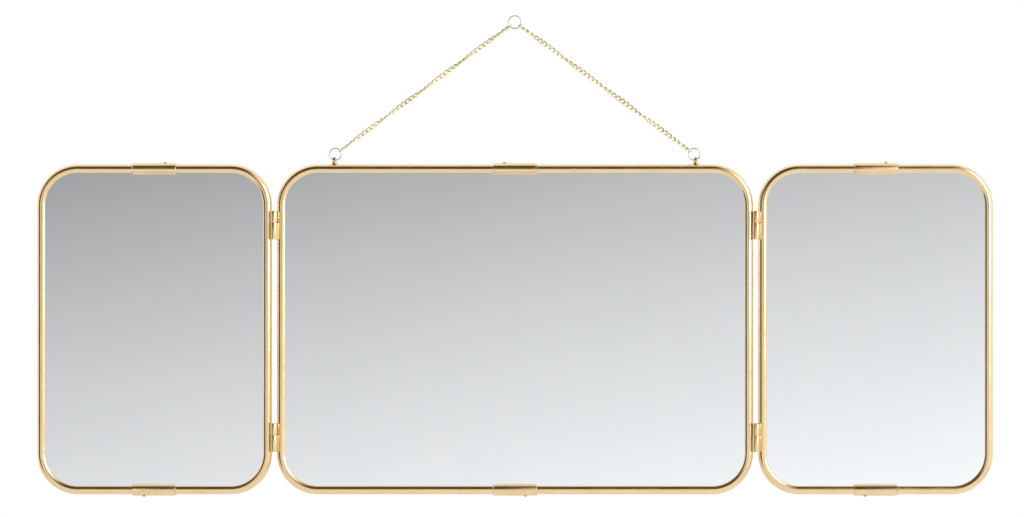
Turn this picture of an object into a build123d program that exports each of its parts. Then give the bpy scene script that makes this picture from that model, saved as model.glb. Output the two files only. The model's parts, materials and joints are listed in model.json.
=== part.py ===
from build123d import *
from math import atan2, copysign, cos, degrees, radians, sin, sqrt
import os

# Triptych wall mirror: three mirrors in frames of bent brass tube, hinged side by side and hung by a chain.
# Millimetres, +Z up, and the mirrors face -Y.
# The origin is where a nail bears on the hanging ring, inside it at the top.

# Panels
centre_width = 381.0
wing_width = 188.0
panel_height = 264.0
panel_gap = 3.8  # between the tubes of two neighbouring panels

# Frame tube, slit along its inner side to hold the glass, and bent into two halves for each panel
tube_diameter = 8.0
tube_wall = 0.8
bend_radius = 29.0  # of the tube's centreline
half_frame_gap = 0.4  # where the two halves meet inside a sleeve
tube_flats = 12  # the tube, its bore and its bends are drawn with flats, which keep the mesh small
bore_flats = 8
bend_corners = 7  # in each bend

# Glass and the board behind it
glass_thickness = 3.0
backing_thickness = 2.0
slit_clearance = 0.1  # at each face of the glass and board
glass_past_centre = 1.0  # how far the glass reaches past the tube's centreline
glass_to_board_gap = 0.0  # the board lies on the back of the glass

# Sleeves over the two joints of each frame, each held to one half by a screw
sleeve_length = 35.0
sleeve_wall = 1.0
sleeve_clearance = 0.1
screw_inset = 9.0  # from the sleeve's fixed end
screw_diameter = 1.6
screw_length = 2.6  # under the head
screw_clearance = 0.1
screw_head_diameter = 2.8
screw_head_height = 0.9
screw_head_taper = 35.0  # degrees
screw_flats = 8

# Hinges: a saddle leaf on each tube, with a knuckle on the wing's leaf above one on the centre's leaf
upper_hinge_drop = 37.8  # from the panel's top edge to the hinge's top
lower_hinge_rise = 34.4  # from the panel's bottom edge to the hinge's bottom
wing_knuckle_height = 9.0
centre_knuckle_height = 13.2
knuckle_gap = 0.2
hinge_forward = 5.2  # from the tube's centreline to the pin's axis
barrel_diameter = 5.6
pin_diameter = 3.5
pin_clearance = 0.05
pin_head_diameter = 5.0
pin_head_height = 0.6
pin_head_taper = 45.0  # degrees
barrel_flats = 12  # of the barrel, its bore and the pin
leaf_thickness = 0.8
leaf_solder_gap = 0.04
leaf_front_angle = 7.0  # the saddle's two edges, measured round the tube from its front
leaf_side_angle = 60.0
web_width = 1.8

# Eye studs riveted into the centre panel's top tube
stud_spread = 289.0
stud_neck_diameter = 3.6
stud_flare_diameter = 5.6
stud_flare_height = 1.0
stud_neck_height = 2.0
eye_diameter = 4.8
eye_thickness = 2.2
eye_hole_diameter = 2.6
tenon_diameter = 2.2
tenon_clearance = 0.1
rivet_head_diameter = 3.4
rivet_head_height = 0.5
rivet_grip = 0.75  # from the tube's bore to the rivet head, which is flat
stud_solder_gap = 0.03
stud_flats = 8

# Rings of round wire, and the chain's links
ring_wire = 1.3
top_ring_diameter = 11.4
side_ring_diameter = 10.6
side_ring_lean = 12.0  # degrees that a side ring leans towards the middle
ring_rise_in_eye = 0.14  # how far the ring's wire lies above the middle of the eye's hole
link_wire = 1.1
link_length = 6.11
link_width = 4.2
link_clearance = 0.05
link_count = 44  # on each side
link_turn = 20.0  # nominal degrees that each link is turned from the one before
link_squareness = 2.6  # exponent of the link's oval, where 2 is an ellipse
link_flats = 4  # of the wire's section
link_stations = (-90, -40, 40, 90, 140, 220)  # degrees round the oval where the wire has a section
ring_flats = 6  # of the ring's wire
ring_runs = 20  # straight runs round a ring

# Sizes that follow
tube_radius = tube_diameter / 2
bore_radius = tube_radius - tube_wall
slit_width = glass_thickness + glass_to_board_gap + backing_thickness + 2 * slit_clearance
sleeve_bore_radius = tube_radius + sleeve_clearance
sleeve_radius = sleeve_bore_radius + sleeve_wall
glass_radius = bend_radius + glass_past_centre
glass_inset = tube_radius - glass_past_centre
glass_front = slit_width / 2 - slit_clearance
hinge_height = wing_knuckle_height + knuckle_gap + centre_knuckle_height
eye_height = stud_flare_height + eye_diameter / 2
top_ring_radius = (top_ring_diameter - ring_wire) / 2
side_ring_radius = (side_ring_diameter - ring_wire) / 2

# The chain is taut, so its length sets how far the ring stands above the panels
link_reach = (link_length - link_wire) / 2
link_pitch = 2 * link_reach - link_wire - link_clearance
ring_hook = (link_wire + ring_wire) / 2 + link_clearance
chain_run = (link_count - 1) * link_pitch + 2 * link_reach - 2 * ring_hook
ring_span = top_ring_radius + chain_run + side_ring_radius
side_ring_x = stud_spread / 2 - side_ring_radius * sin(radians(side_ring_lean))
top_ring_z = ring_wire / 2 - top_ring_radius
side_ring_z = top_ring_z - sqrt(ring_span**2 - side_ring_x**2)
chain_angle = atan2(top_ring_z - side_ring_z, side_ring_x)
eye_axis_z = side_ring_z - side_ring_radius * cos(radians(side_ring_lean))
panel_top = eye_axis_z - ring_rise_in_eye - eye_height
panel_bottom = panel_top - panel_height
panel_middle = (panel_top + panel_bottom) / 2
top_tube_z = panel_top - tube_radius
bottom_tube_z = panel_bottom + tube_radius
hinge_x = (centre_width + panel_gap) / 2
wing_x = hinge_x + (panel_gap + wing_width) / 2
chain_pivot_z = top_ring_z - top_ring_radius * sin(chain_angle)

# Each panel's middle, its width, and the side of the half frame that its top sleeve is screwed to
panels = {
    "centre": (0.0, centre_width, -1),
    "left_wing": (-wing_x, wing_width, 1),
    "right_wing": (wing_x, wing_width, 1),
}

os.makedirs("parts", exist_ok=True)


def save(piece, name):
    piece.label = name
    export_step(piece, f"parts/{name}.step")


def slit_wall(radius, bore, flats):
    """Draws a tube's wall with its slit, which opens along the sketch's own +X."""
    RegularPolygon(radius, tube_flats)
    RegularPolygon(bore, flats, mode=Mode.SUBTRACT)
    Rectangle(2 * radius, slit_width, align=(Align.MIN, Align.CENTER), mode=Mode.SUBTRACT)


def screw_x(middle, side):
    return middle + side * (sleeve_length / 2 - screw_inset)


def bend(centre_x, centre_z, first_angle, turn):
    """Corners of a quarter bend, whose straight runs touch the true arc from outside."""
    step = 90 / bend_corners
    reach = bend_radius / cos(radians(step / 2))
    angles = [radians(first_angle + turn * step * (corner + 0.5)) for corner in range(bend_corners)]
    return [(centre_x + reach * cos(angle), centre_z + reach * sin(angle)) for angle in angles]


def half_frame(middle, width, side, screwed_end, stud_x=None):
    """One U of tube. screwed_end is 1 where its top takes a sleeve's screw and -1 where its bottom does."""
    start_x = middle + side * half_frame_gap / 2
    bend_x = middle + side * (width / 2 - tube_radius - bend_radius)
    side_angle = 0 if side > 0 else 180
    with BuildPart() as frame:
        with BuildLine(Plane.XZ):
            Polyline(
                (start_x, top_tube_z),
                *bend(bend_x, top_tube_z - bend_radius, 90, -side),
                *bend(bend_x, bottom_tube_z + bend_radius, side_angle, -side),
                (start_x, bottom_tube_z),
            )
        with BuildSketch(Plane((start_x, 0, top_tube_z), x_dir=(0, 0, -1), z_dir=(side, 0, 0))):
            slit_wall(tube_radius, bore_radius, bore_flats)
        sweep(transition=Transition.RIGHT)
        outer_z = panel_top if screwed_end > 0 else panel_bottom
        with BuildSketch(Plane((screw_x(middle, side), 0, outer_z), z_dir=(0, 0, -screwed_end))):
            RegularPolygon(screw_diameter / 2 + screw_clearance, screw_flats)
        extrude(amount=tube_radius, mode=Mode.SUBTRACT)
        if stud_x is not None:
            with BuildSketch(Plane((stud_x, 0, panel_top), z_dir=(0, 0, -1))):
                RegularPolygon(tenon_diameter / 2 + tenon_clearance, stud_flats)
            extrude(amount=tube_radius, mode=Mode.SUBTRACT)
    return frame.part


def sleeve(middle, end, side):
    """A slit collar over the joint at the top (end 1) or bottom (end -1), screwed to the half at side."""
    tube_z = top_tube_z if end > 0 else bottom_tube_z
    with BuildPart() as collar:
        with BuildSketch(Plane((middle - sleeve_length / 2, 0, tube_z), x_dir=(0, 0, -end), z_dir=(1, 0, 0))):
            slit_wall(sleeve_radius, sleeve_bore_radius, tube_flats)
        extrude(amount=sleeve_length)
        with BuildSketch(Plane((screw_x(middle, side), 0, tube_z), z_dir=(0, 0, end))):
            RegularPolygon(screw_diameter / 2 + screw_clearance, screw_flats)
        extrude(amount=sleeve_radius, mode=Mode.SUBTRACT)
    return collar.part


def sleeve_screws(middle, top_side):
    """The two round-headed screws of a panel, one through each sleeve."""
    with BuildPart() as screws:
        for end, side in ((1, top_side), (-1, -top_side)):
            seat_z = panel_middle + end * (panel_height / 2 + sleeve_radius - tube_radius)
            seat = Plane((screw_x(middle, side), 0, seat_z), z_dir=(0, 0, end))
            with BuildSketch(seat):
                RegularPolygon(screw_head_diameter / 2, screw_flats)
            extrude(amount=screw_head_height, taper=screw_head_taper)
            with BuildSketch(seat):
                RegularPolygon(screw_diameter / 2, screw_flats)
            extrude(amount=-screw_length)
    return screws.part


def panel_sheet(middle, width, front, thickness):
    """A rounded sheet held in the slit, from the given distance in front of the tube's centreline."""
    with BuildPart() as sheet:
        with BuildSketch(Plane.XZ.offset(front)):
            with Locations((middle, panel_middle)):
                RectangleRounded(width - 2 * glass_inset, panel_height - 2 * glass_inset, glass_radius)
        extrude(amount=-thickness)
    return sheet.part


def hinge_leaf(tube_x, axis_x, leaf_bottom, knuckle_bottom, knuckle_height):
    """A saddle soldered on the front of a tube, with one knuckle joined to it by a short web."""
    toward = 1 if axis_x > tube_x else -1
    inner = tube_radius + leaf_solder_gap
    outer = inner + leaf_thickness
    # round the tube, with the front at -90 degrees
    front_edge = -90 + toward * leaf_front_angle
    side_edge = -90 + toward * leaf_side_angle
    with BuildPart() as leaf:
        with BuildSketch(Plane.XY.offset(leaf_bottom)):
            with BuildLine():
                outside = CenterArc((tube_x, 0), outer, front_edge, side_edge - front_edge)
                inside = CenterArc((tube_x, 0), inner, front_edge, side_edge - front_edge)
                Line(outside @ 0, inside @ 0)
                Line(outside @ 1, inside @ 1)
            make_face()
        extrude(amount=hinge_height)
        with BuildSketch(Plane.XY.offset(knuckle_bottom)):
            with Locations((axis_x, -hinge_forward)):
                RegularPolygon(barrel_diameter / 2, barrel_flats)
            middle = ((tube_x + axis_x) / 2, -hinge_forward / 2)
            with Locations(Location((*middle, 0), degrees(atan2(-hinge_forward, axis_x - tube_x)))):
                Rectangle(abs(axis_x - tube_x), web_width)
            with Locations((tube_x, 0)):
                Circle((inner + outer) / 2, mode=Mode.SUBTRACT)
            with Locations((axis_x, -hinge_forward)):
                # the bore's flats, not its corners, clear the pin's corners
                RegularPolygon(pin_diameter / 2 + pin_clearance, barrel_flats, major_radius=False, mode=Mode.SUBTRACT)
        extrude(amount=knuckle_height)
    return leaf.part


def hinge_pin(axis_x, bottom):
    """A pin with a low domed head, which stands on the upper knuckle."""
    head_z = bottom + hinge_height + knuckle_gap / 2
    with BuildPart() as pin:
        with BuildSketch(Plane((axis_x, -hinge_forward, bottom))):
            RegularPolygon(pin_diameter / 2, barrel_flats)
        extrude(amount=head_z - bottom)
        with BuildSketch(Plane((axis_x, -hinge_forward, head_z))):
            RegularPolygon(pin_head_diameter / 2, barrel_flats)
        extrude(amount=pin_head_height, taper=pin_head_taper)
    return pin.part


def eye_stud(stud_x):
    """A stud with a flared foot shaped to the tube, a flat drilled eye, and a tenon riveted inside the tube."""
    flare = stud_flare_diameter / 2
    foot_drop = tube_radius - sqrt(tube_radius**2 - flare**2)
    rivet_z = top_tube_z + bore_radius - rivet_grip
    eye_centre = (stud_x, 0, panel_top + eye_height)
    with BuildPart() as stud:
        with BuildSketch(Plane((stud_x, 0, panel_top - foot_drop))):
            RegularPolygon(flare, stud_flats)
        extrude(amount=foot_drop)
        with BuildSketch(Plane((stud_x, 0, panel_top))):
            RegularPolygon(flare, stud_flats)
        with BuildSketch(Plane((stud_x, 0, panel_top + stud_flare_height))):
            RegularPolygon(stud_neck_diameter / 2, stud_flats)
        loft(ruled=True)
        with BuildSketch(Plane((stud_x, 0, panel_top + stud_flare_height))):
            RegularPolygon(stud_neck_diameter / 2, stud_flats)
        extrude(amount=stud_neck_height - stud_flare_height)
        with BuildSketch(Plane(eye_centre, z_dir=(1, 0, 0))):
            RegularPolygon(eye_diameter / 2, stud_flats)
        extrude(amount=eye_thickness / 2, both=True)
        with BuildSketch(Plane((stud_x - stud_flare_diameter, 0, top_tube_z), x_dir=(0, 0, 1), z_dir=(1, 0, 0))):
            RegularPolygon(tube_radius + stud_solder_gap, tube_flats)
        extrude(amount=2 * stud_flare_diameter, mode=Mode.SUBTRACT)
        with BuildSketch(Plane((stud_x, 0, rivet_z))):
            RegularPolygon(tenon_diameter / 2, stud_flats)
        extrude(amount=panel_top + stud_flare_height - rivet_z)
        with BuildSketch(Plane((stud_x, 0, rivet_z), z_dir=(0, 0, -1))):
            RegularPolygon(rivet_head_diameter / 2, stud_flats)
        extrude(amount=rivet_head_height)
        with BuildSketch(Plane(eye_centre, z_dir=(1, 0, 0))):
            RegularPolygon(eye_hole_diameter / 2, stud_flats, major_radius=False)
        extrude(amount=eye_thickness, both=True, mode=Mode.SUBTRACT)
    return stud.part


def wire_ring(x, z, radius):
    """A closed ring of wire in the picture's plane, in straight runs that touch the true circle from outside."""
    reach = radius / cos(radians(180 / ring_runs))
    angles = [radians(360 * (run + 0.5) / ring_runs) for run in range(ring_runs)]
    with BuildPart() as ring:
        with BuildLine(Plane((x, 0, z), x_dir=(1, 0, 0), z_dir=(0, -1, 0))):
            Polyline((radius, 0), *[(reach * cos(angle), reach * sin(angle)) for angle in angles], close=True)
        with BuildSketch(Plane((x + radius, 0, z), x_dir=(1, 0, 0), z_dir=(0, 0, 1))):
            RegularPolygon(ring_wire / 2, ring_flats)
        sweep(transition=Transition.RIGHT)
    return ring.part


def oval_point(degrees_round, lower_turn, upper_turn, plain_from):
    """A point on a link's twisted oval. Its plane turns from lower_turn to upper_turn, up to plain_from."""
    s = sin(radians(degrees_round))
    c = cos(radians(degrees_round))
    along = copysign(abs(s) ** (2 / link_squareness), s)
    across = copysign(abs(c) ** (2 / link_squareness), c) * (link_width - link_wire) / 2
    share = min((along + 1) / (plain_from + 1), 1)
    turn = radians(lower_turn + (upper_turn - lower_turn) * share)
    return Vector(link_reach * along, across * cos(turn), across * sin(turn))


def chain_link(lower_turn, upper_turn, plain_from):
    """One curb link: an oval of wire, twisted so that its two ends lie at an angle to each other."""
    shape = (lower_turn, upper_turn, plain_from)
    rings = []
    for station in link_stations:
        point = oval_point(station, *shape)
        along_wire = oval_point(station + 1, *shape) - oval_point(station - 1, *shape)
        inward = Vector(0, 0, 0) - point
        across_wire = inward - along_wire * (inward.dot(along_wire) / along_wire.length**2)
        section = Plane(point, x_dir=across_wire, z_dir=along_wire)
        turns = [radians(360 * corner / link_flats) for corner in range(link_flats)]
        rings.append([section.from_local_coords(Vector(cos(turn), sin(turn)) * link_wire / 2) for turn in turns])
    facets = []
    for here, ahead in zip(rings, rings[1:] + rings[:1]):
        for corner in range(link_flats):
            beside = (corner + 1) % link_flats
            for third in (here[beside], ahead[corner]):
                facets.append(make_face(Polyline(here[corner], ahead[beside], third, close=True)))
    return Solid(Shell(facets))


def chain(side):
    """The taut run of links from a side ring up to the hanging ring."""
    turns = round((link_count * link_turn - 90) / 180)
    turn_step = (90 + 180 * turns) / link_count
    twist = 90 - turn_step
    middle_link = chain_link(0, twist, 1)
    end_link = chain_link(0, twist, 0)
    direction = Vector(-side * cos(chain_angle), 0, sin(chain_angle))
    start = Vector(side * side_ring_x, 0, side_ring_z) + direction * (side_ring_radius - ring_hook + link_reach)
    links = []
    for number in range(link_count):
        place = Plane(start + direction * link_pitch * number, x_dir=(0, 1, 0), z_dir=direction).location
        # the link's own axis lies along X, and its plane holds Y where its turn is 0
        place = place * Location((0, 0, 0), (0, -90, 0)) * Location((0, 0, 0), (90, 0, 0))
        place = place * Location((0, 0, 0), (-turn_step * number, 0, 0))
        if number == 0:
            links.append(end_link.moved(place * Location((0, 0, 0), (twist, 0, 0)) * Location((0, 0, 0), (0, 180, 0))))
        elif number == link_count - 1:
            links.append(end_link.moved(place))
        else:
            links.append(middle_link.moved(place))
    return Compound(children=links)


for name, (middle, width, top_side) in panels.items():
    for side, word in ((-1, "left"), (1, "right")):
        screwed_end = 1 if side == top_side else -1
        stud_x = side * stud_spread / 2 if name == "centre" else None
        save(half_frame(middle, width, side, screwed_end, stud_x), f"{name}_frame_{word}")
    save(sleeve(middle, 1, top_side), f"{name}_sleeve_top")
    save(sleeve(middle, -1, -top_side), f"{name}_sleeve_bottom")
    save(sleeve_screws(middle, top_side), f"{name}_sleeve_screws")
    save(panel_sheet(middle, width, glass_front, glass_thickness), f"{name}_glass")
    board_front = glass_front - glass_thickness - glass_to_board_gap
    save(panel_sheet(middle, width, board_front, backing_thickness), f"{name}_backing")

upper_hinge_z = panel_top - upper_hinge_drop - hinge_height
lower_hinge_z = panel_bottom + lower_hinge_rise
for side, word in ((-1, "left"), (1, "right")):
    axis_x = side * hinge_x
    tube_offset = panel_gap / 2 + tube_radius
    for level, bottom in (("upper", upper_hinge_z), ("lower", lower_hinge_z)):
        wing_knuckle_z = bottom + centre_knuckle_height + knuckle_gap
        wing_leaf = hinge_leaf(axis_x + side * tube_offset, axis_x, bottom, wing_knuckle_z, wing_knuckle_height)
        centre_leaf = hinge_leaf(axis_x - side * tube_offset, axis_x, bottom, bottom, centre_knuckle_height)
        save(wing_leaf, f"{word}_{level}_hinge_wing_leaf")
        save(centre_leaf, f"{word}_{level}_hinge_centre_leaf")
        save(hinge_pin(axis_x, bottom), f"{word}_{level}_hinge_pin")
    save(eye_stud(side * stud_spread / 2), f"eye_stud_{word}")
    save(wire_ring(side * side_ring_x, side_ring_z, side_ring_radius), f"side_ring_{word}")
    save(chain(side), f"chain_{word}")
save(wire_ring(0, top_ring_z, top_ring_radius), "top_ring")

print(f"hinge axes at x {hinge_x:.3f}, y {-hinge_forward:.3f}")
print(f"chain pivot z {chain_pivot_z:.3f}, eye axis z {eye_axis_z:.3f}")
print(f"panels from z {panel_bottom:.3f} to {panel_top:.3f}, chain at {degrees(chain_angle):.2f} degrees")
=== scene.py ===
import json
from math import asin, ceil, cos, degrees, pi, radians, sin, sqrt

import bmesh
import bpy
from mathutils import Matrix, Vector


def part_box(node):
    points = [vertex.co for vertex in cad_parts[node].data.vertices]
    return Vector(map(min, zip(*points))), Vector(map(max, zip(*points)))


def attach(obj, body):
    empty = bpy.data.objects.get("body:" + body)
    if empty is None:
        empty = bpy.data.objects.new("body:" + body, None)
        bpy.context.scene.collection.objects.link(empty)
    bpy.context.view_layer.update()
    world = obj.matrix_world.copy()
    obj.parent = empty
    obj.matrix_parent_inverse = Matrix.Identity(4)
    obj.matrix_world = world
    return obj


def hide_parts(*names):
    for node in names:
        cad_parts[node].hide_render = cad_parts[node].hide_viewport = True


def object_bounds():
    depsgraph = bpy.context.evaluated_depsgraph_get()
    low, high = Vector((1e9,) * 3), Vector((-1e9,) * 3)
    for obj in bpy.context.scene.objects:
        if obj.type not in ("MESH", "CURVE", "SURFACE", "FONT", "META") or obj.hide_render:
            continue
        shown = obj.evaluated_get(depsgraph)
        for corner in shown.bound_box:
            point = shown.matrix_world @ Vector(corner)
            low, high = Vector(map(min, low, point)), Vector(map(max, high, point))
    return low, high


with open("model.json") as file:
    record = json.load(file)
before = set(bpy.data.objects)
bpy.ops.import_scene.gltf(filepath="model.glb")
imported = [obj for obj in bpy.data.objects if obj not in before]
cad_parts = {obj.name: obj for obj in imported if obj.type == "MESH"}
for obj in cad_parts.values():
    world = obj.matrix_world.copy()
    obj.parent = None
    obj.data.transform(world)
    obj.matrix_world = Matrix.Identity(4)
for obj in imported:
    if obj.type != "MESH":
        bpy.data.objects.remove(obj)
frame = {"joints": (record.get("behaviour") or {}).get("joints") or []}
cad_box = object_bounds()

# Frame tubes
# Each panel's frame is two U-shaped halves of drawn brass tube, with wide bends and a slit along the inside.
# The slit holds the glass and its board. The brass is polished, and has toned a little under worn lacquer.
tube_wall = 0.0008
bend_radius = 0.029
slit_half_width = 0.0026
slit_lip_round = 0.00015
degrees_per_bend_step = 3.0
tube_steps_round = 44
brass_bright = (0.91, 0.71, 0.43)
brass_toned = (0.85, 0.61, 0.31)
# this brown colours the tarnish specks, and also the painted shade in the brass's corners
brass_tarnish_and_shade = (0.42, 0.25, 0.09)
toning_size = 0.024
speck_size = 0.0011
smear_size = 0.007
smear_roughness = 0.10
polish_mark_size = 0.0003
polish_mark_depth = 0.00001
polish_mark_strength = 0.10
lacquer_coat = 0.25
lacquer_roughness = 0.12
# how strongly the painted shade in corners darkens the brass
painted_shade_share = 0.75
open_corner = 0.75  # share of the open space round a point, from which the painted shade begins
shut_corner = 0.2
panel_bodies = {"centre": "centre_panel", "left_wing": "left_wing", "right_wing": "right_wing"}

# sockets of a node that mixes two colours
mix_under = 6
mix_over = 7
mix_colour = 2


def link_nodes(source, source_socket, target, target_socket):
    source.id_data.links.new(source.outputs[source_socket], target.inputs[target_socket])


def new_material(name):
    """A material, its shader, and its object's own coordinates for patterns."""
    material = bpy.data.materials.new(name)
    material.use_nodes = True
    nodes = material.node_tree.nodes
    return material, nodes["Principled BSDF"], nodes.new("ShaderNodeTexCoord")


def spread(source, socket, low, high, to_low=0.0, to_high=1.0):
    """Turns values from low to high into values from to_low to to_high."""
    node = source.id_data.nodes.new("ShaderNodeMapRange")
    for name, number in (("From Min", low), ("From Max", high), ("To Min", to_low), ("To Max", to_high)):
        node.inputs[name].default_value = number
    link_nodes(source, socket, node, "Value")
    return node


def cloud(places, size, detail, low, high):
    """A soft cloudy pattern of the given size in metres, spread so that low to high becomes 0 to 1."""
    noise = places.id_data.nodes.new("ShaderNodeTexNoise")
    noise.inputs["Scale"].default_value = 1 / size
    noise.inputs["Detail"].default_value = detail
    link_nodes(places, "Object", noise, "Vector")
    return spread(noise, "Fac", low, high)


def tint(pattern, strength, under, over):
    """Mixes the colour over onto the colour, or the earlier mix, under, where the pattern is high."""
    nodes = pattern.id_data.nodes
    weaken = nodes.new("ShaderNodeMath")
    weaken.operation = "MULTIPLY"
    weaken.inputs[1].default_value = strength
    link_nodes(pattern, "Result", weaken, 0)
    mix = nodes.new("ShaderNodeMix")
    mix.data_type = "RGBA"
    link_nodes(weaken, "Value", mix, "Factor")
    if isinstance(under, tuple):
        mix.inputs[mix_under].default_value = (*under, 1)
    else:
        link_nodes(under, mix_colour, mix, mix_under)
    mix.inputs[mix_over].default_value = (*over, 1)
    return mix


def raise_pattern(pattern, strength, depth, shader):
    """Lets the pattern stand up from the surface by the depth in metres."""
    bump = pattern.id_data.nodes.new("ShaderNodeBump")
    bump.inputs["Strength"].default_value = strength
    bump.inputs["Distance"].default_value = depth
    link_nodes(pattern, "Result", bump, "Height")
    link_nodes(bump, "Normal", shader, "Normal")


def brass(name, bright, toned, tone_share, speck_share, roughness, shade_reach):
    """Polished brass with cloudy toning, small tarnish specks, wiped smears, and painted shade darkening its
    corners.
    """
    material, shader, places = new_material(name)
    shader.inputs["Metallic"].default_value = 1
    shader.inputs["Coat Weight"].default_value = lacquer_coat
    shader.inputs["Coat Roughness"].default_value = lacquer_roughness
    toning = cloud(places, toning_size, detail=5, low=0.38, high=0.68)
    colour = tint(toning, tone_share, bright, toned)
    specks = cloud(places, speck_size, detail=2, low=0.64, high=0.72)
    colour = tint(specks, speck_share, colour, brass_tarnish_and_shade)
    # painted shade: the colour darkens towards the brown wherever ambient occlusion finds the surface shut
    # in, in crevices and where fittings meet the tubes
    corners = material.node_tree.nodes.new("ShaderNodeAmbientOcclusion")
    corners.inputs["Distance"].default_value = shade_reach
    corners.samples = 8
    shut_in = spread(corners, "AO", open_corner, shut_corner)
    colour = tint(shut_in, painted_shade_share, colour, brass_tarnish_and_shade)
    link_nodes(colour, mix_colour, shader, "Base Color")
    smears = cloud(places, smear_size, detail=6, low=0.35, high=0.7)
    wiped = spread(smears, "Result", 0, 1, roughness, roughness + smear_roughness)
    link_nodes(wiped, "Result", shader, "Roughness")
    polish_marks = cloud(places, polish_mark_size, detail=3, low=0.3, high=0.7)
    raise_pattern(polish_marks, polish_mark_strength, polish_mark_depth, shader)
    return material


def skin(rings, close_along=False):
    """Joins a row of rings, each with as many points, into a closed skin of quads."""
    around = len(rings[0])
    points = [point for ring in rings for point in ring]
    faces = []
    for step in range(len(rings) if close_along else len(rings) - 1):
        here = step * around
        ahead = (step + 1) % len(rings) * around
        for corner in range(around):
            beside = (corner + 1) % around
            faces.append((here + corner, here + beside, ahead + beside, ahead + corner))
    if not close_along:
        faces.append(tuple(range(around)))
        faces.append(tuple(range(len(points) - around, len(points))))
    return points, faces


def add_piece(name, shape, material, body, node, sharp_from=40):
    """Makes a smooth-shaded piece that moves with its body and stands for its CAD node."""
    mesh = bpy.data.meshes.new(name)
    mesh.from_pydata(shape[0], [], shape[1])
    cleaner = bmesh.new()
    cleaner.from_mesh(mesh)
    bmesh.ops.recalc_face_normals(cleaner, faces=cleaner.faces)
    cleaner.to_mesh(mesh)
    cleaner.free()
    mesh.polygons.foreach_set("use_smooth", [True] * len(mesh.polygons))
    mesh.set_sharp_from_angle(angle=radians(sharp_from))
    mesh.materials.append(material)
    piece = bpy.data.objects.new(name, mesh)
    bpy.context.scene.collection.objects.link(piece)
    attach(piece, body)
    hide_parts(node)
    return piece


def quarter_turn(first, steps):
    """The angles of equal steps through a quarter turn, which starts at first in degrees."""
    return [radians(first + 90 * step / steps) for step in range(steps + 1)]


def slit_ring(centre, inward, outer, inner, steps, crease=None):
    """One section of a slit tube: its outer wall, a rounded lip, its bore, and the other lip."""
    across = Vector((0, 1, 0))
    outer_from = asin((slit_half_width + slit_lip_round) / outer)
    inner_from = asin((slit_half_width + slit_lip_round) / inner)
    ring = []
    for step in range(steps + 1):
        angle = outer_from + (2 * pi - 2 * outer_from) * step / steps
        reach = outer
        if crease and abs(min(angle, 2 * pi - angle) - crease[0]) < crease[1]:
            reach = outer - crease[2]
        ring.append(centre + (inward * cos(angle) + across * sin(angle)) * reach)
    outer_edge = inward * (sqrt(outer**2 - slit_half_width**2) - slit_lip_round)
    inner_edge = inward * (sqrt(inner**2 - slit_half_width**2) + slit_lip_round)
    lip = across * slit_half_width
    ring += [centre - lip + outer_edge, centre - lip + inner_edge]
    bore_steps = steps // 2
    for step in range(bore_steps + 1):
        angle = 2 * pi - inner_from - (2 * pi - 2 * inner_from) * step / bore_steps
        ring.append(centre + (inward * cos(angle) + across * sin(angle)) * inner)
    ring += [centre + lip + inner_edge, centre + lip + outer_edge]
    return ring


def bend_path(start, low, high, side, tube):
    """Points and inward directions along a half frame, from its top end round to its bottom end."""
    top = high.z - tube
    bottom = low.z + tube
    outer_x = high.x - tube if side > 0 else low.x + tube
    bend_x = outer_x - side * bend_radius
    stations = [(Vector((start, 0, top)), Vector((0, 0, -1)))]
    for middle_z, first in ((top - bend_radius, 0), (bottom + bend_radius, 90)):
        for angle in quarter_turn(first, ceil(90 / degrees_per_bend_step)):
            out = Vector((side * sin(angle), 0, cos(angle)))
            stations.append((Vector((bend_x, 0, middle_z)) + out * bend_radius, -out))
    stations.append((Vector((start, 0, bottom)), Vector((0, 0, 1))))
    return stations


tube_brass = brass(
    "tube_brass", brass_bright, brass_toned,
    tone_share=0.55,
    speck_share=0.25,
    roughness=0.11,
    shade_reach=0.0008,
)
for panel, body in panel_bodies.items():
    for word, side in (("left", -1), ("right", 1)):
        node = f"{panel}_frame_{word}"
        low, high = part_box(node)
        outer = (high.y - low.y) / 2
        inner = outer - tube_wall
        joint_x = low.x if side > 0 else high.x
        rings = []
        for point, inward in bend_path(joint_x, low, high, side, outer):
            rings.append(slit_ring(point, inward, outer, inner, tube_steps_round))
        add_piece(f"{node}_tube", skin(rings), tube_brass, body, node)

# Mirror glass
# Each panel's sheet of 3 mm glass has wide rounded corners, a ground edge, and silvering on its back.
# It lies in the tube's slit with the board behind it, and nothing else holds it.
glass_past_tube_centre = 0.001
glass_bend = bend_radius + glass_past_tube_centre
ground_edge = 0.0004
corner_steps = 18
silver = (0.925, 0.935, 0.94)
silver_dull = (0.86, 0.875, 0.885)
dust_grey = (0.62, 0.62, 0.60)
haze_size = 0.09
haze_share = 0.25
haze_roughness = 0.03
dust_size = 0.0009
dust_share = 0.12


def rounded_outline(low, high, radius, y):
    """A rectangle with round corners, upright in the picture's plane."""
    ring = []
    corners = ((high.x, high.z, 0), (low.x, high.z, 90), (low.x, low.z, 180), (high.x, low.z, 270))
    for corner_x, corner_z, first in corners:
        middle_x = corner_x - radius if corner_x == high.x else corner_x + radius
        middle_z = corner_z - radius if corner_z == high.z else corner_z + radius
        for angle in quarter_turn(first, corner_steps):
            ring.append(Vector((middle_x + radius * cos(angle), y, middle_z + radius * sin(angle))))
    return ring


def sheet_shape(node, radius, edge):
    """A flat sheet whose edges have a small slope front and back."""
    low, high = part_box(node)
    rings = []
    for y, inset in ((low.y, edge), (low.y + edge, 0), (high.y - edge, 0), (high.y, edge)):
        inwards = Vector((inset, 0, inset))
        rings.append(rounded_outline(low + inwards, high - inwards, radius - inset, y))
    return skin(rings)


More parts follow.
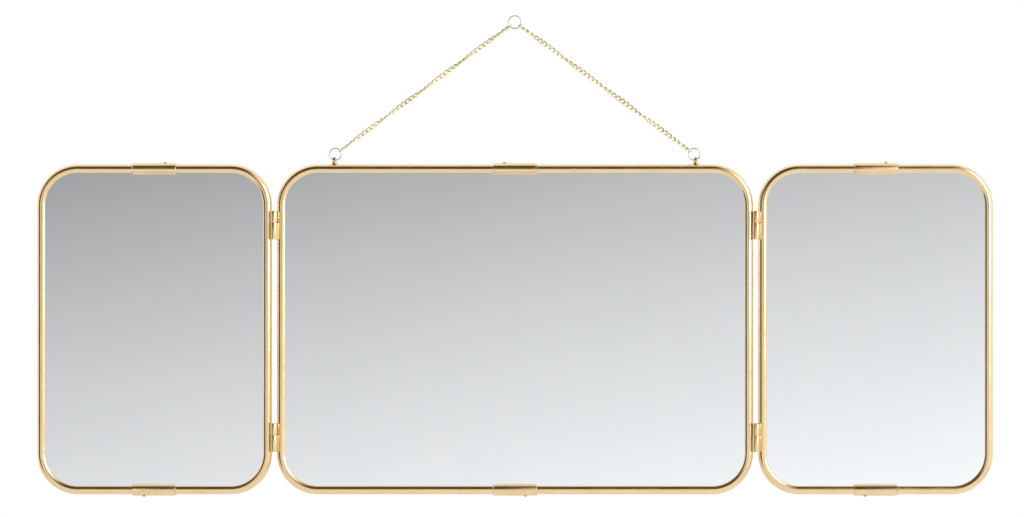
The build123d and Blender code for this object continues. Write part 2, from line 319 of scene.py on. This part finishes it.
silvering, silver_shader, silver_places = new_material("silvered_glass")
silver_shader.inputs["Metallic"].default_value = 1
haze = cloud(silver_places, haze_size, detail=4, low=0.4, high=0.75)
dust = cloud(silver_places, dust_size, detail=1, low=0.74, high=0.78)
silver_colour = tint(haze, haze_share, silver, silver_dull)
silver_colour = tint(dust, dust_share, silver_colour, dust_grey)
link_nodes(silver_colour, mix_colour, silver_shader, "Base Color")
link_nodes(spread(haze, "Result", 0, 1, 0, haze_roughness), "Result", silver_shader, "Roughness")
for panel, body in panel_bodies.items():
    node = f"{panel}_glass"
    shape = sheet_shape(node, glass_bend, ground_edge)
    add_piece(f"{node}_sheet", shape, silvering, body, node, sharp_from=25)

# Backing boards
# A thin brown hardboard lies behind each sheet of glass and keeps its silvering from the wall.
# Its smooth pressed face is outwards, with fibres showing faintly, and its edges stand in the tube's slit.
board_edge = 0.0002
board_brown = (0.190, 0.102, 0.050)
board_pale_fibre = (0.30, 0.175, 0.092)
board_dark_fibre = (0.12, 0.062, 0.030)
blotch_size = 0.05
blotch_share = 0.35
fibre_size = 0.0012
fibre_share = 0.6
fibre_depth = 0.0001
fibre_strength = 0.35
scuff_size = 0.0045
scuff_share = 0.4
board_smoothest = 0.42
board_roughest = 0.62

hardboard, board_shader, board_places = new_material("hardboard")
blotches = cloud(board_places, blotch_size, detail=5, low=0.35, high=0.7)
fibres = cloud(board_places, fibre_size, detail=8, low=0.5, high=0.72)
scuffs = cloud(board_places, scuff_size, detail=3, low=0.62, high=0.75)
board_colour = tint(blotches, blotch_share, board_brown, board_dark_fibre)
board_colour = tint(fibres, fibre_share, board_colour, board_pale_fibre)
board_colour = tint(scuffs, scuff_share, board_colour, board_dark_fibre)
link_nodes(board_colour, mix_colour, board_shader, "Base Color")
board_gloss = spread(blotches, "Result", 0, 1, board_smoothest, board_roughest)
link_nodes(board_gloss, "Result", board_shader, "Roughness")
raise_pattern(fibres, fibre_strength, fibre_depth, board_shader)
for panel, body in panel_bodies.items():
    node = f"{panel}_backing"
    shape = sheet_shape(node, glass_bend, board_edge)
    add_piece(f"{node}_board", shape, hardboard, body, node, sharp_from=25)

# Sleeves
# A slit brass collar covers each joint of the tube, at the middle of every panel's top and bottom.
# A groove is rolled round its loose end, into which the other half slides, and each side has a fine crease.
sleeve_wall = 0.001
sleeve_end_round = 0.0003
sleeve_groove_depth = 0.0005
sleeve_groove_from_end = 0.0004
sleeve_groove_width = 0.0009
sleeve_groove_slope = 0.15  # share of the groove's width
sleeve_crease = (radians(57), radians(1.6), 0.00012)  # angle from the slit, half width and depth
sleeve_steps_round = 180
screwed_side = {"centre": -1, "left_wing": 1, "right_wing": 1}
fitting_bright = (0.90, 0.70, 0.42)
fitting_toned = (0.82, 0.58, 0.29)

fitting_brass = brass(
    "fitting_brass", fitting_bright, fitting_toned,
    tone_share=0.6,
    speck_share=0.3,
    roughness=0.13,
    shade_reach=0.0006,
)
for panel, body in panel_bodies.items():
    for word, end in (("top", 1), ("bottom", -1)):
        node = f"{panel}_sleeve_{word}"
        low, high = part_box(node)
        outer = (high.y - low.y) / 2
        inner = outer - sleeve_wall
        middle_z = high.z - outer if end > 0 else low.z + outer
        length = high.x - low.x
        # distance along and outer radius, from the screwed end to the loose end
        profile = []
        for angle in quarter_turn(0, 4):
            along = sleeve_end_round * (1 - cos(angle))
            profile.append((along, outer - sleeve_end_round * (1 - sin(angle))))
        groove_to = length - sleeve_groove_from_end
        groove_from = groove_to - sleeve_groove_width
        slope = sleeve_groove_width * sleeve_groove_slope
        profile += [
            (groove_from, outer),
            (groove_from + slope, outer - sleeve_groove_depth),
            (groove_to - slope, outer - sleeve_groove_depth),
            (groove_to, outer),
            (length - sleeve_end_round / 2, outer),
            (length, outer - sleeve_end_round / 2),
        ]
        tight = screwed_side[panel] * end
        start_x = high.x if tight > 0 else low.x
        inward = Vector((0, 0, -end))
        rings = []
        for along, radius in profile:
            centre = Vector((start_x - tight * along, 0, middle_z))
            rings.append(slit_ring(centre, inward, radius, inner, sleeve_steps_round, sleeve_crease))
        add_piece(f"{node}_collar", skin(rings), fitting_brass, body, node, sharp_from=30)

# Sleeve screws
# A small brass screw with a slotted round head holds each sleeve to one of the two halves.
# Its shank passes through the sleeve and the tube's outer wall.
screw_head_radius = 0.0014
screw_head_height = 0.0009
screw_head_tip = 0.000028
screw_shank_radius = 0.0008
screw_length = 0.0026
screw_point_radius = 0.0005
screw_point_height = 0.0002
slot_half_width = 0.0002
slot_depth = 0.00045
screw_steps_round = 40
shank_steps_round = 24
slot_turns = {"centre": (0.5, 1.9), "left_wing": (1.2, 0.2), "right_wing": (2.5, 0.9)}
near_axis = 0.00002


def full_turn(steps):
    """The angles of equal steps all the way round."""
    return [2 * pi * step / steps for step in range(steps)]


def lathe(profile, origin, axis, around):
    """Turns a profile of (radius, height) pairs about an axis. It starts and ends near the axis."""
    across = axis.orthogonal().normalized()
    third = axis.cross(across)
    rings = []
    for radius, height in profile:
        ring = []
        for turn in full_turn(around):
            ring.append(origin + axis * height + (across * cos(turn) + third * sin(turn)) * radius)
        rings.append(ring)
    return skin(rings)


def joined(parts):
    """Puts several skins into one."""
    points = []
    faces = []
    for part_points, part_faces in parts:
        start = len(points)
        points.extend(part_points)
        faces.extend(tuple(corner + start for corner in face) for face in part_faces)
    return points, faces


def slotted_head(seat, axis, turn):
    """A domed head cut across by a slot: two halves of a dome on a thin disc."""
    dome = [(screw_head_radius * cos(a), screw_head_height * sin(a)) for a in quarter_turn(0, 9)[:-1]]
    dome.append((screw_head_tip, screw_head_height))
    disc = [(radius, height) for radius, height in dome if height <= screw_head_height - slot_depth]
    disc.append((screw_head_tip, disc[-1][1]))
    parts = [lathe(disc, seat, axis, screw_steps_round)]
    across_slot = Vector((-sin(turn), cos(turn), 0))
    for side in (-1, 1):
        half = bmesh.new()
        points, faces = lathe(dome, seat, axis, screw_steps_round)
        corners = [half.verts.new(point) for point in points]
        for face in faces:
            half.faces.new([corners[corner] for corner in face])
        cut = bmesh.ops.bisect_plane(
            half,
            geom=half.verts[:] + half.edges[:] + half.faces[:],
            plane_co=seat + across_slot * side * slot_half_width,
            plane_no=across_slot * side,
            clear_inner=True,
        )
        rim = [edge for edge in cut["geom_cut"] if isinstance(edge, bmesh.types.BMEdge)]
        bmesh.ops.contextual_create(half, geom=rim)
        half.verts.index_update()
        points = [corner.co.copy() for corner in half.verts]
        faces = [tuple(corner.index for corner in face.verts) for face in half.faces]
        parts.append((points, faces))
        half.free()
    return joined(parts)


screw_shank = [
    (near_axis, 0),
    (screw_shank_radius, 0),
    (screw_shank_radius, screw_point_height - screw_length),
    (screw_point_radius, -screw_length),
    (near_axis, -screw_length),
]
screw_brass = brass(
    "screw_brass", brass_bright, brass_toned,
    tone_share=0.8,
    speck_share=0.6,
    roughness=0.2,
    shade_reach=0.0006,
)
for panel, body in panel_bodies.items():
    node = f"{panel}_sleeve_screws"
    low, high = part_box(node)
    parts = []
    for end, turn in zip((1, -1), slot_turns[panel]):
        side = screwed_side[panel] * end
        screw_x = high.x - screw_head_radius if side > 0 else low.x + screw_head_radius
        seat_z = high.z - screw_head_height if end > 0 else low.z + screw_head_height
        seat = Vector((screw_x, 0, seat_z))
        axis = Vector((0, 0, end))
        parts += [slotted_head(seat, axis, turn), lathe(screw_shank, seat, axis, shank_steps_round)]
    add_piece(f"{node}_pair", joined(parts), screw_brass, body, node, sharp_from=30)

# Hinge leaves
# Each hinge has a leaf on either tube: a full-height saddle of brass strip, soldered to the tube's front.
# A knuckle stands on each saddle, the wing's above and the centre's below, and the pin runs through both.
leaf_thickness = 0.0008
leaf_solder = 0.00004
leaf_front_angle = 7.0
leaf_side_angle = 60.0
leaf_corner = 0.0013
leaf_steps = 12
barrel_radius = 0.0028
bore_radius = 0.0018
barrel_round = 0.0002
barrel_steps_round = 48
wing_knuckle = 0.009
centre_knuckle = 0.0132
web_half_width = 0.00095
web_flare = 0.0006
web_steps = 12
web_into_leaf = 0.5  # share of the leaf's thickness
web_into_barrel = 0.14  # share of the barrel's radius

folds = [joint for joint in frame["joints"] if "fold" in joint["name"]]
hinge_axes = {joint["child"].split("_")[0]: Vector(joint["pos_m"]) for joint in folds}


def saddle(tube_x, toward, low_z, high_z, inner):
    """Brass strip bent round the front of the tube, with rounded corners at its front edge."""
    outer = inner + leaf_thickness
    # height from the leaf's end, and how far its corner cuts back the front edge there
    corner = [(leaf_corner * (1 - cos(a)), leaf_corner * (1 - sin(a))) for a in quarter_turn(0, 8)]
    rows = [(low_z + height, inset) for height, inset in corner]
    rows += [(high_z - height, inset) for height, inset in reversed(corner)]
    side = radians(leaf_side_angle)
    rings = []
    for z, inset in rows:
        front = radians(leaf_front_angle) + inset / outer
        angles = [front + (side - front) * step / leaf_steps for step in range(leaf_steps + 1)]
        ring = []
        for radius, order in ((outer, angles), (inner, reversed(angles))):
            for angle in order:
                ring.append(Vector((tube_x + toward * radius * sin(angle), -radius * cos(angle), z)))
        rings.append(ring)
    return skin(rings)


def knuckle(axis, tube_x, low_z, high_z, inner):
    """A rolled barrel with softened edges, and the short web that joins it to its saddle."""
    # height from the barrel's end, and how far its rounding stands back there
    edge = [(barrel_round * (1 - cos(a)), barrel_round * (1 - sin(a))) for a in quarter_turn(0, 3)]
    profile = [(barrel_radius - inset, low_z + height) for height, inset in edge]
    profile += [(barrel_radius - inset, high_z - height) for height, inset in reversed(edge)]
    profile += [(bore_radius, high_z), (bore_radius, low_z)]
    rings = []
    for turn in full_turn(barrel_steps_round):
        out = Vector((cos(turn), sin(turn), 0))
        rings.append([Vector((axis.x, axis.y, z)) + out * radius for radius, z in profile])
    barrel = skin(rings, close_along=True)
    tube = Vector((tube_x, 0, 0))
    reach = Vector((axis.x, axis.y, 0)) - tube
    along = reach.normalized()
    across = Vector((-along.y, along.x, 0))
    near = inner + leaf_thickness * web_into_leaf
    far = reach.length - barrel_radius * (1 - web_into_barrel)
    web_side = []
    for step in range(web_steps + 1):
        share = step / web_steps
        width = web_half_width + web_flare * (2 * share - 1) ** 2
        web_side.append((near + (far - near) * share, width))
    outline = [tube + along * distance + across * width for distance, width in web_side]
    outline += [tube + along * distance - across * width for distance, width in reversed(web_side)]
    ends = (low_z + barrel_round, high_z - barrel_round)
    web = skin([[point + Vector((0, 0, z)) for point in outline] for z in ends])
    return joined([barrel, web])


for wing, axis in hinge_axes.items():
    outward = -1 if axis.x < 0 else 1
    # which tube each leaf is on, the side of that tube's panel where it is, and its knuckle's height
    leaves = (
        ("wing", f"{wing}_wing", "left" if outward > 0 else "right", outward, wing_knuckle),
        ("centre", "centre", wing, -outward, centre_knuckle),
    )
    for level in ("upper", "lower"):
        low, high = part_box(f"{wing}_{level}_hinge_wing_leaf")
        for owner, panel, tube_word, side, knuckle_height in leaves:
            node = f"{wing}_{level}_hinge_{owner}_leaf"
            tube_low, tube_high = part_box(f"{panel}_frame_{tube_word}")
            tube_radius = (tube_high.y - tube_low.y) / 2
            near_x = tube_high.x if side < 0 else tube_low.x
            tube_x = near_x + side * tube_radius
            inner = tube_radius + leaf_solder
            knuckle_low = high.z - knuckle_height if owner == "wing" else low.z
            parts = [
                saddle(tube_x, -side, low.z, high.z, inner),
                knuckle(axis, tube_x, knuckle_low, knuckle_low + knuckle_height, inner),
            ]
            body = panel_bodies[panel]
            shape = joined(parts)
            add_piece(f"{node}_strip", shape, fitting_brass, body, node, sharp_from=30)

# Hinge pins
# A turned brass pin with a low domed head drops through both knuckles of each hinge.
# Its head rests on the wing's knuckle, and its foot is level with the centre's.
pin_radius = 0.00175
pin_foot_slope = 0.0003
pin_head_radius = 0.0025
pin_head_height = 0.0006
pin_steps_round = 48

pin_brass = brass(
    "pin_brass", brass_bright, brass_toned,
    tone_share=0.7,
    speck_share=0.45,
    roughness=0.17,
    shade_reach=0.0008,
)
for wing, axis in hinge_axes.items():
    for level in ("upper", "lower"):
        node = f"{wing}_{level}_hinge_pin"
        low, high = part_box(node)
        head_z = high.z - low.z - pin_head_height
        profile = [(near_axis, 0), (pin_radius - pin_foot_slope, 0), (pin_radius, pin_foot_slope)]
        profile.append((pin_radius, head_z))
        for angle in quarter_turn(0, 9):
            profile.append((pin_head_radius * cos(angle), head_z + pin_head_height * sin(angle)))
        profile.append((near_axis, head_z + pin_head_height))
        foot = Vector((axis.x, axis.y, low.z))
        shape = lathe(profile, foot, Vector((0, 0, 1)), pin_steps_round)
        body = "centre_panel"
        add_piece(f"{node}_turned", shape, pin_brass, body, node, sharp_from=35)

# Eye studs
# Two cast brass studs stand on the centre panel's top tube, each with a flared foot and a flat drilled eye.
# A tenon under the foot goes through the tube's wall and is riveted over inside.
stud_neck_radius = 0.0018
stud_neck_from = 0.0012
stud_flare_radius = 0.0028
stud_flare_height = 0.001
stud_flare_rows = 8
stud_steps_round = 48
stud_shoulder = ((0.0018, 0.0016), (0.0017, 0.0019), (0.0014, 0.0020))  # radius and height
eye_radius = 0.0024
eye_half_thickness = 0.0011
eye_hole_radius = 0.0013
eye_edge_round = 0.0003
eye_steps_round = 64
tenon_radius = 0.0011
tenon_steps_round = 32
rivet_head_radius = 0.0017
rivet_head_height = 0.0005
cast_voxel = 0.00009
cast_softening = 0.5
cast_softening_passes = 3
# the studs' brass is set darker than the other fittings': partly their own toning, and partly painted shade
# of the dim room above them that they mirror
stud_bright = (0.74, 0.52, 0.25)
stud_toned_and_shaded = (0.46, 0.29, 0.11)

# the eye's section, as corners with the angle where each one's rounding starts
eye_outer = eye_radius - eye_edge_round
eye_inner = eye_hole_radius + eye_edge_round
eye_side = eye_half_thickness - eye_edge_round
eye_corners = (
    (eye_outer, eye_side, 0),
    (eye_inner, eye_side, 90),
    (eye_inner, -eye_side, 180),
    (eye_outer, -eye_side, 270),
)
eye_profile = []
for radius, along, first in eye_corners:
    for angle in quarter_turn(first, 4):
        eye_profile.append((radius + eye_edge_round * cos(angle), along + eye_edge_round * sin(angle)))

shaded_stud_brass = brass(
    "shaded_stud_brass", stud_bright, stud_toned_and_shaded,
    tone_share=0.9,
    speck_share=0.6,
    roughness=0.18,
    shade_reach=0.0016,
)
panel_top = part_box("centre_frame_left")[1].z
for word in ("left", "right"):
    node = f"eye_stud_{word}"
    low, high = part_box(node)
    foot = Vector(((low.x + high.x) / 2, 0, panel_top))
    tube_low, tube_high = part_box(f"centre_frame_{word}")
    tube_radius = (tube_high.y - tube_low.y) / 2
    # the foot's underside is shaped to the tube
    rings = []
    for row in range(stud_flare_rows + 1):
        share = row / stud_flare_rows
        radius = stud_neck_radius + (stud_flare_radius - stud_neck_radius) * (1 - share) ** 2
        ring = []
        for turn in full_turn(stud_steps_round):
            y = radius * sin(turn)
            on_tube = sqrt(tube_radius**2 - y**2) - tube_radius
            z = on_tube * (1 - share) + stud_neck_from * share
            ring.append(foot + Vector((radius * cos(turn), y, z)))
        rings.append(ring)
    for radius, height in stud_shoulder:
        turns = full_turn(stud_steps_round)
        rings.append([foot + Vector((radius * cos(turn), radius * sin(turn), height)) for turn in turns])
    eye_centre = foot + Vector((0, 0, stud_flare_height + eye_radius))
    eye_rings = []
    for turn in full_turn(eye_steps_round):
        out = Vector((0, cos(turn), sin(turn)))
        side = Vector((1, 0, 0))
        eye_rings.append([eye_centre + out * radius + side * along for radius, along in eye_profile])
    tenon_low = low.z - panel_top
    rivet_top = tenon_low + rivet_head_height
    tenon = [(near_axis, tenon_low), (rivet_head_radius, tenon_low), (rivet_head_radius, rivet_top)]
    tenon += [(tenon_radius, rivet_top), (tenon_radius, stud_flare_height), (near_axis, stud_flare_height)]
    parts = [skin(rings), skin(eye_rings, close_along=True)]
    parts.append(lathe(tenon, foot, Vector((0, 0, 1)), tenon_steps_round))
    shape = joined(parts)
    body = "centre_panel"
    stud = add_piece(f"{node}_cast", shape, shaded_stud_brass, body, node, sharp_from=60)
    # the foot, eye and tenon are cast as one, with softened joints
    fuse = stud.modifiers.new("fuse", "REMESH")
    fuse.mode = "VOXEL"
    fuse.voxel_size = cast_voxel
    fuse.use_smooth_shade = True
    soften = stud.modifiers.new("soften", "SMOOTH")
    soften.factor = cast_softening
    soften.iterations = cast_softening_passes

# Rings
# The hanging ring and the two side rings are round wire bent to a circle, paler than the brass.
# Each closes on a fine butt joint, and the chains' end links hook over them.
ring_bright = (0.86, 0.83, 0.77)
ring_toned = (0.70, 0.64, 0.54)
ring_joint_depth = 0.00012
ring_joint_half_angle = 1.6
ring_joint_angles = {"top_ring": 75, "side_ring_left": 35, "side_ring_right": 160}
ring_steps_round = 120
ring_wire_sides = 20
cad_wire_flats = 6

ring_metal = brass(
    "ring_wire_metal", ring_bright, ring_toned,
    tone_share=0.5,
    speck_share=0.25,
    roughness=0.12,
    shade_reach=0.0006,
)
ring_places = {}
for node, joint_angle in ring_joint_angles.items():
    low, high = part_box(node)
    centre = (low + high) / 2
    # the CAD wire's box reaches its flats, and the round wire reaches its corners
    wire = (high.y - low.y) / 2 / cos(pi / cad_wire_flats)
    radius = (high.x - low.x) / 2 - wire
    ring_places[node] = (centre, radius, wire)
    rings = []
    for angle in full_turn(ring_steps_round):
        from_joint = abs((degrees(angle) - joint_angle + 180) % 360 - 180)
        wire_here = wire - ring_joint_depth if from_joint < ring_joint_half_angle else wire
        out = Vector((cos(angle), 0, sin(angle)))
        ring = []
        for turn in full_turn(ring_wire_sides):
            side = Vector((0, wire_here * sin(turn), 0))
            ring.append(centre + out * (radius + wire_here * cos(turn)) + side)
        rings.append(ring)
    body = "hanging_ring" if node == "top_ring" else "chain"
    shape = skin(rings, close_along=True)
    add_piece(f"{node}_wire", shape, ring_metal, body, node, sharp_from=50)

# Chains
# Each chain is of curb links: ovals of brass wire, twisted so that every link's two ends lie at an angle.
# They hook into one another all the way from a side ring to the hanging ring, which they hold taut.
link_wire = 0.0011
link_length = 0.00611
link_width = 0.0042
link_play = 0.00005
link_count = 44
link_turn = 20.0
link_squareness = 2.6
link_stations = 40
link_sides = 12
tangent_step = 0.02
chain_bright = (0.93, 0.83, 0.54)
chain_toned = (0.66, 0.55, 0.27)

# the turns from link to link add up so that both end links stand square on their rings
link_reach = (link_length - link_wire) / 2
half_turns = round((link_count * link_turn - 90) / 180)
turn_step = (90 + 180 * half_turns) / link_count
twist = 90 - turn_step


def oval_point(angle, plain_from):
    """A point on an oval whose plane turns by twist from its lower end, at -1, up to plain_from."""
    s = sin(angle)
    c = cos(angle)
    along = (1 if s > 0 else -1) * abs(s) ** (2 / link_squareness)
    across = (1 if c > 0 else -1) * abs(c) ** (2 / link_squareness) * (link_width - link_wire) / 2
    turn = radians(twist * min((along + 1) / (plain_from + 1), 1))
    return Vector((link_reach * along, across * cos(turn), across * sin(turn)))


def link_shape(plain_from):
    """One link of round wire, along X."""
    rings = []
    for station in range(link_stations):
        angle = 2 * pi * (station + 0.5) / link_stations
        point = oval_point(angle, plain_from)
        before = oval_point(angle - tangent_step, plain_from)
        along_wire = (oval_point(angle + tangent_step, plain_from) - before).normalized()
        inward = along_wire.cross(-point).cross(along_wire).normalized()
        across = along_wire.cross(inward)
        ring = []
        for turn in full_turn(link_sides):
            ring.append(point + (inward * cos(turn) + across * sin(turn)) * link_wire / 2)
        rings.append(ring)
    return skin(rings, close_along=True)


chain_brass = brass(
    "chain_brass", chain_bright, chain_toned,
    tone_share=0.8,
    speck_share=0.4,
    roughness=0.10,
    shade_reach=0.0003,
)
middle_link = link_shape(1)
end_link = link_shape(0)
top_centre, top_radius, ring_wire = ring_places["top_ring"]
for word in ("left", "right"):
    node = f"chain_{word}"
    side_centre, side_radius, ring_wire = ring_places[f"side_ring_{word}"]
    direction = (top_centre - side_centre).normalized()
    hook = link_wire / 2 + ring_wire + link_play
    first = side_centre + direction * (side_radius - hook + link_reach)
    last = top_centre - direction * (top_radius - hook + link_reach)
    y_axis = Vector((0, 1, 0))
    basis = Matrix((direction, -y_axis, -direction.cross(y_axis))).transposed()
    parts = []
    for number in range(link_count):
        origin = first.lerp(last, number / (link_count - 1))
        points, faces = middle_link if 0 < number < link_count - 1 else end_link
        turn = Matrix.Rotation(radians(-turn_step * number), 3, "X")
        if number == 0:
            # its plain end is up, so it is turned over to hook the side ring with it
            turn = Matrix.Rotation(radians(twist), 3, "X") @ Matrix.Rotation(pi, 3, "Y")
        placed = basis @ turn
        parts.append(([origin + placed @ point for point in points], faces))
    add_piece(f"{node}_links", joined(parts), chain_brass, "chain", node, sharp_from=60)

# Studio
# The mirror hangs high over a plain pale floor, in a plain soft light, and is seen squarely from the front.
# The room it mirrors is dim above and to the left, and bright below and to the right.
floor_drop = 1.45
floor_half = 7.0
floor_fades_from = 2.6
floor_fades_to = 6.6
floor_cloud_size = 0.8
floor_cloud_share = 0.1
floor_roughness = 0.7
floor_pale = (0.90, 0.90, 0.89)
floor_worn = (0.84, 0.84, 0.83)

floor_mesh = bpy.data.meshes.new("floor")
floor_corners = [(-floor_half, -floor_half, 0), (floor_half, -floor_half, 0)]
floor_corners += [(floor_half, floor_half, 0), (-floor_half, floor_half, 0)]
floor_mesh.from_pydata(floor_corners, [], [(0, 1, 2, 3)])
floor = bpy.data.objects.new("floor", floor_mesh)
floor.location.z = cad_box[0][2] - floor_drop
bpy.context.scene.collection.objects.link(floor)
floor_paint, floor_shader, floor_places = new_material("floor_paint")
floor_shader.inputs["Roughness"].default_value = floor_roughness
floor_clouds = cloud(floor_places, floor_cloud_size, detail=3, low=0.3, high=0.7)
floor_colour = tint(floor_clouds, floor_cloud_share, floor_pale, floor_worn)
link_nodes(floor_colour, mix_colour, floor_shader, "Base Color")
# the floor fades out into the white round it
floor_nodes = floor_paint.node_tree.nodes
floor_distance = floor_nodes.new("ShaderNodeVectorMath")
floor_distance.operation = "LENGTH"
link_nodes(floor_places, "Object", floor_distance, 0)
floor_fade = spread(floor_distance, "Value", floor_fades_from, floor_fades_to)
floor_fade.interpolation_type = "SMOOTHSTEP"
floor_clear = floor_nodes.new("ShaderNodeBsdfTransparent")
floor_mix = floor_nodes.new("ShaderNodeMixShader")
link_nodes(floor_fade, "Result", floor_mix, "Fac")
link_nodes(floor_shader, "BSDF", floor_mix, 1)
link_nodes(floor_clear, "BSDF", floor_mix, 2)
link_nodes(floor_mix, "Shader", floor_nodes["Material Output"], "Surface")
floor_mesh.materials.append(floor_paint)

key_lamp_place = Vector((1.9, -1.7, 0.5))
key_lamp_width = 1.1
key_lamp_height = 1.6
key_lamp_power = 22

key_lamp = bpy.data.lights.new("key_lamp", "AREA")
key_lamp.shape = "RECTANGLE"
key_lamp.size = key_lamp_width
key_lamp.size_y = key_lamp_height
key_lamp.energy = key_lamp_power
key_lamp_object = bpy.data.objects.new("key_lamp", key_lamp)
bpy.context.scene.collection.objects.link(key_lamp_object)
key_lamp_object.location = key_lamp_place
middle = Vector((0, 0, (cad_box[0][2] + cad_box[1][2]) / 2))
key_lamp_object.rotation_euler = (middle - key_lamp_place).to_track_quat("-Z", "Y").to_euler()

# the room's brightness in the direction that a ray leaves the glass or brass
room_middle = 0.622
room_rightwards = 0.67
room_upwards = 3.35
room_darkest = 0.10
room_white = 1.05
room_tint = (0.975, 0.985, 1.0)
ceiling_tint = (1.0, 0.72, 0.38)
plain_light_strength = 0.9

world = bpy.data.worlds.new("studio")
bpy.context.scene.world = world
world.use_nodes = True
world_nodes = world.node_tree.nodes
world_nodes.clear()
rays = world_nodes.new("ShaderNodeLightPath")
directions = world_nodes.new("ShaderNodeTexCoord")
split = world_nodes.new("ShaderNodeSeparateXYZ")
link_nodes(directions, "Generated", split, "Vector")


def worked_out(operation, first, second):
    """A maths node, whose inputs are numbers or other nodes' outputs."""
    node = world_nodes.new("ShaderNodeMath")
    node.operation = operation
    for socket, value in enumerate((first, second)):
        if isinstance(value, (int, float)):
            node.inputs[socket].default_value = value
        else:
            world.node_tree.links.new(value, node.inputs[socket])
    return node.outputs["Value"]


def eased(angle, start, stop, low=0.0, high=1.0):
    """A smooth step from low to high as the angle goes from start to stop in degrees."""
    step = world_nodes.new("ShaderNodeMapRange")
    step.interpolation_type = "SMOOTHSTEP"
    ends = (("From Min", radians(start)), ("From Max", radians(stop)), ("To Min", low), ("To Max", high))
    for name, number in ends:
        step.inputs[name].default_value = number
    world.node_tree.links.new(angle, step.inputs["Value"])
    return step.outputs["Result"]


# in front of the mirror the room darkens upwards and to the left
slope = worked_out("MULTIPLY", split.outputs["X"], room_rightwards)
slope = worked_out("SUBTRACT", slope, worked_out("MULTIPLY", split.outputs["Z"], room_upwards))
room = worked_out("ADD", slope, room_middle)
room = worked_out("MAXIMUM", worked_out("MINIMUM", room, room_white), room_darkest)
# past the dim part's sides it is white
off_front = worked_out("ARCCOSINE", worked_out("MULTIPLY", split.outputs["Y"], -1), 0)
beside = eased(off_front, 13, 20)
room = worked_out("ADD", room, worked_out("MULTIPLY", worked_out("SUBTRACT", room_white, room), beside))
# a dark ceiling reaches from overhead, at 0 degrees, round to the left wall, at 90
round_left = worked_out("ARCTAN2", worked_out("MULTIPLY", split.outputs["X"], -1), split.outputs["Z"])
ceiling_edge = eased(round_left, 25, 80, radians(9), radians(33))
past_edge = eased(worked_out("SUBTRACT", off_front, ceiling_edge), -5, 5)
before_back = eased(off_front, 78, 64)
from_right = eased(round_left, -45, -10)
to_below = eased(round_left, 150, 105)
dark = worked_out("MULTIPLY", past_edge, before_back)
dark = worked_out("MULTIPLY", dark, worked_out("MULTIPLY", from_right, to_below))
darkening = worked_out("MULTIPLY", worked_out("SUBTRACT", room, room_darkest), dark)
room = worked_out("SUBTRACT", room, darkening)

# glass and brass mirror the room, all else is lit plainly, and the camera sees white behind the mirror
plain_light = world_nodes.new("ShaderNodeBackground")
plain_light.inputs["Color"].default_value = (1, 1, 1, 1)
plain_light.inputs["Strength"].default_value = plain_light_strength
room_colour = world_nodes.new("ShaderNodeMix")
room_colour.data_type = "RGBA"
room_colour.inputs[mix_under].default_value = (*room_tint, 1)
room_colour.inputs[mix_over].default_value = (*ceiling_tint, 1)
world.node_tree.links.new(dark, room_colour.inputs["Factor"])
room_light = world_nodes.new("ShaderNodeBackground")
link_nodes(room_colour, mix_colour, room_light, "Color")
world.node_tree.links.new(room, room_light.inputs["Strength"])
white_view = world_nodes.new("ShaderNodeBackground")
white_view.inputs["Color"].default_value = (1, 1, 1, 1)
mirrored = worked_out("MAXIMUM", rays.outputs["Is Glossy Ray"], rays.outputs["Is Transmission Ray"])
plain_or_room = world_nodes.new("ShaderNodeMixShader")
world.node_tree.links.new(mirrored, plain_or_room.inputs["Fac"])
link_nodes(plain_light, "Background", plain_or_room, 1)
link_nodes(room_light, "Background", plain_or_room, 2)
with_view = world_nodes.new("ShaderNodeMixShader")
link_nodes(rays, "Is Camera Ray", with_view, "Fac")
link_nodes(plain_or_room, "Shader", with_view, 1)
link_nodes(white_view, "Background", with_view, 2)
link_nodes(with_view, "Shader", world_nodes.new("ShaderNodeOutputWorld"), "Surface")

camera_distance = 2.0
picture_width = 1024
picture_height = 517
metres_per_pixel = 0.0008
panel_middle_pixel_x = 515.0
panel_top_pixel_y = 164.3
sensor_width = 36.0

camera = bpy.data.cameras.new("camera")
camera.sensor_width = sensor_width
camera.lens = sensor_width * camera_distance / metres_per_pixel / picture_width
camera_object = bpy.data.objects.new("camera", camera)
bpy.context.scene.collection.objects.link(camera_object)
camera_x = (picture_width / 2 - panel_middle_pixel_x) * metres_per_pixel
camera_z = panel_top - (picture_height / 2 - panel_top_pixel_y) * metres_per_pixel
camera_object.location = (camera_x, -camera_distance, camera_z)
camera_object.rotation_euler = (pi / 2, 0, 0)
bpy.context.scene.camera = camera_object
bpy.context.scene.view_settings.view_transform = "Standard"
